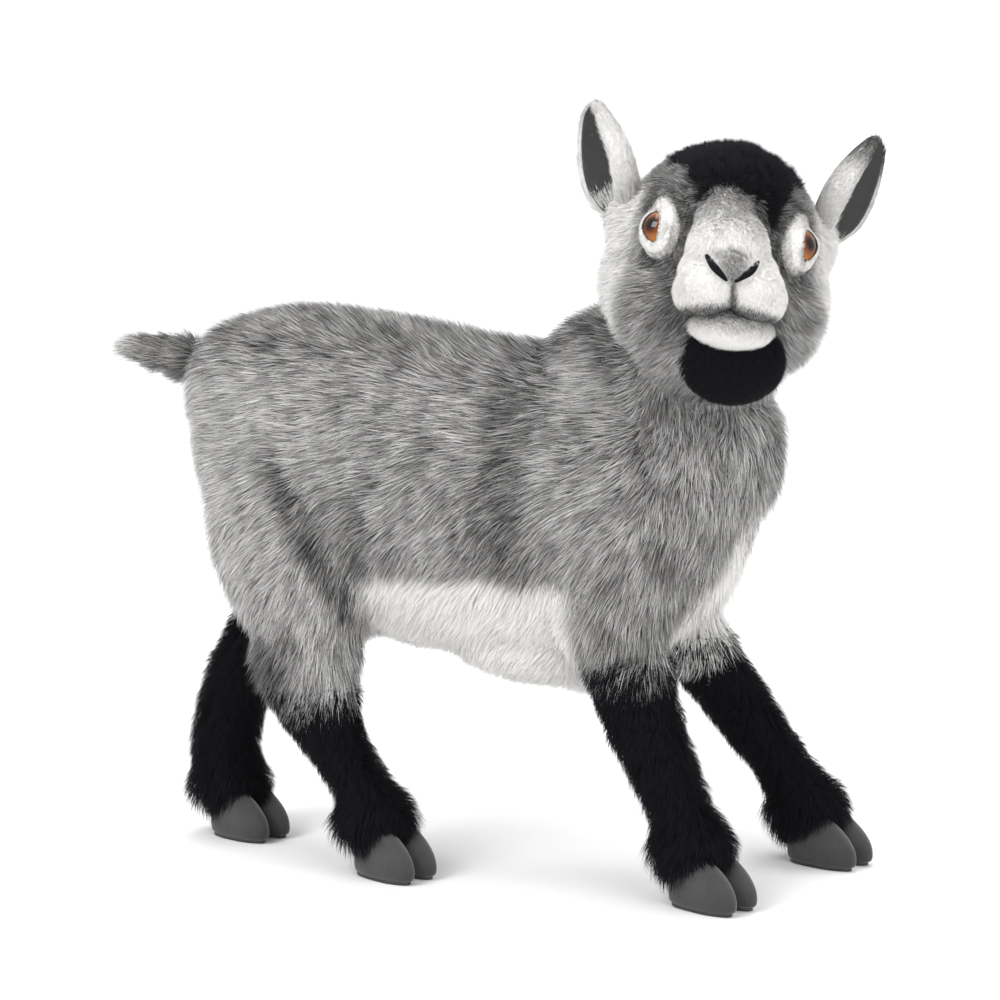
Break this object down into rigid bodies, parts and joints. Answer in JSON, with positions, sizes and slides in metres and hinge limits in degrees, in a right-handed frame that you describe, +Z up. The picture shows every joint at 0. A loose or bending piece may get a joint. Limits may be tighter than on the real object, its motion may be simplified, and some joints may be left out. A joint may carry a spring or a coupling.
{
  "type": "plush goat",
  "caption": "Standing plush goat kid with long grey fur, black leg socks and cloven hooves; its head, ears and tail bend on an inner wire.",
  "frame": {"origin": "on the ground under the middle of the standing object's box", "axes": "+X from tail to chest, +Y to the goat's left, +Z up"},
  "size_m": [0.3687, 0.1725, 0.3567],
  "materials": {
    "stuffing": "loose polyester fibre",
    "grey_fur": "long pile, dark roots and silver tips",
    "white_fur": "long soft pile",
    "wire": "drawn",
    "black_pile": "short dense pile",
    "white_pile": "short dense pile",
    "hoof_suede": "brushed suede cloth",
    "sole_leather": "smooth",
    "ear_fur": "short pale pile",
    "eye": "clear amber with a black pupil",
    "washer": "moulded",
    "thread": "twisted"
  },
  "bodies": {
    "torso": {"torso_stuffing": "stuffing", "flank_fur_right": "grey_fur", "flank_fur_left": "grey_fur", "shoulder_fur_right": "grey_fur", "shoulder_fur_left": "grey_fur", "belly_fur": "white_fur", "spine_wire": "wire", "neck_fur": "grey_fur", "neck_stuffing": "stuffing", "neck_wire": "wire", "upper_foreleg_fur_right": "grey_fur", "upper_foreleg_fur_left": "grey_fur", "haunch_fur_right": "grey_fur", "haunch_fur_left": "grey_fur", "foreleg_stuffing_right": "stuffing", "foreleg_stuffing_left": "stuffing", "hind_leg_stuffing_right": "stuffing", "hind_leg_stuffing_left": "stuffing", "foreleg_sock_right": "black_pile", "foreleg_sock_left": "black_pile", "hind_leg_sock_right": "black_pile", "hind_leg_sock_left": "black_pile", "foreleg_wire_right": "wire", "foreleg_wire_left": "wire", "hind_leg_wire_right": "wire", "hind_leg_wire_left": "wire", "fore_hoof_right": "hoof_suede", "fore_hoof_left": "hoof_suede", "hind_hoof_right": "hoof_suede", "hind_hoof_left": "hoof_suede", "fore_sole_right": "sole_leather", "fore_sole_left": "sole_leather", "hind_sole_right": "sole_leather", "hind_sole_left": "sole_leather"},
    "head": {"head_stuffing": "stuffing", "cheek_fur_right": "grey_fur", "cheek_fur_left": "grey_fur", "crown_fur": "black_pile", "nape_fur": "grey_fur", "jaw_fur": "black_pile", "throat_cloth": "grey_fur", "muzzle_pile": "white_pile", "muzzle_stuffing": "stuffing", "lower_lip": "white_pile", "chin_bib": "black_pile", "nose_stitching": "thread", "eye_patch_right": "white_pile", "eye_patch_left": "white_pile", "eye_right": "eye", "eye_left": "eye", "eye_washer_right": "washer", "eye_washer_left": "washer"},
    "ear_right": {"ear_back_right": "ear_fur", "ear_lining_right": "hoof_suede"},
    "ear_left": {"ear_back_left": "ear_fur", "ear_lining_left": "hoof_suede"},
    "tail": {"tail_fur": "grey_fur", "tail_wire": "wire"}
  },
  "joints": [
    {"name": "head_turn", "type": "hinge", "parent": "torso", "child": "head", "pos_m": [0.1033, 0.01931, 0.25], "axis": [0, 0, 1], "range_deg": [-10, 60]},
    {"name": "ear_flex_right", "type": "hinge", "parent": "head", "child": "ear_right", "pos_m": [0.08347, -0.01291, 0.30883], "axis": [0.342, -0.9397, 0], "range_deg": [-15, 15]},
    {"name": "ear_flex_left", "type": "hinge", "parent": "head", "child": "ear_left", "pos_m": [0.15174, 0.01194, 0.29991], "axis": [0.342, -0.9397, 0], "range_deg": [-15, 15]},
    {"name": "tail_lift", "type": "hinge", "parent": "torso", "child": "tail", "pos_m": [-0.1527, 0.01931, 0.23322], "axis": [0, 1, 0], "range_deg": [-35, 40]}
  ]
}
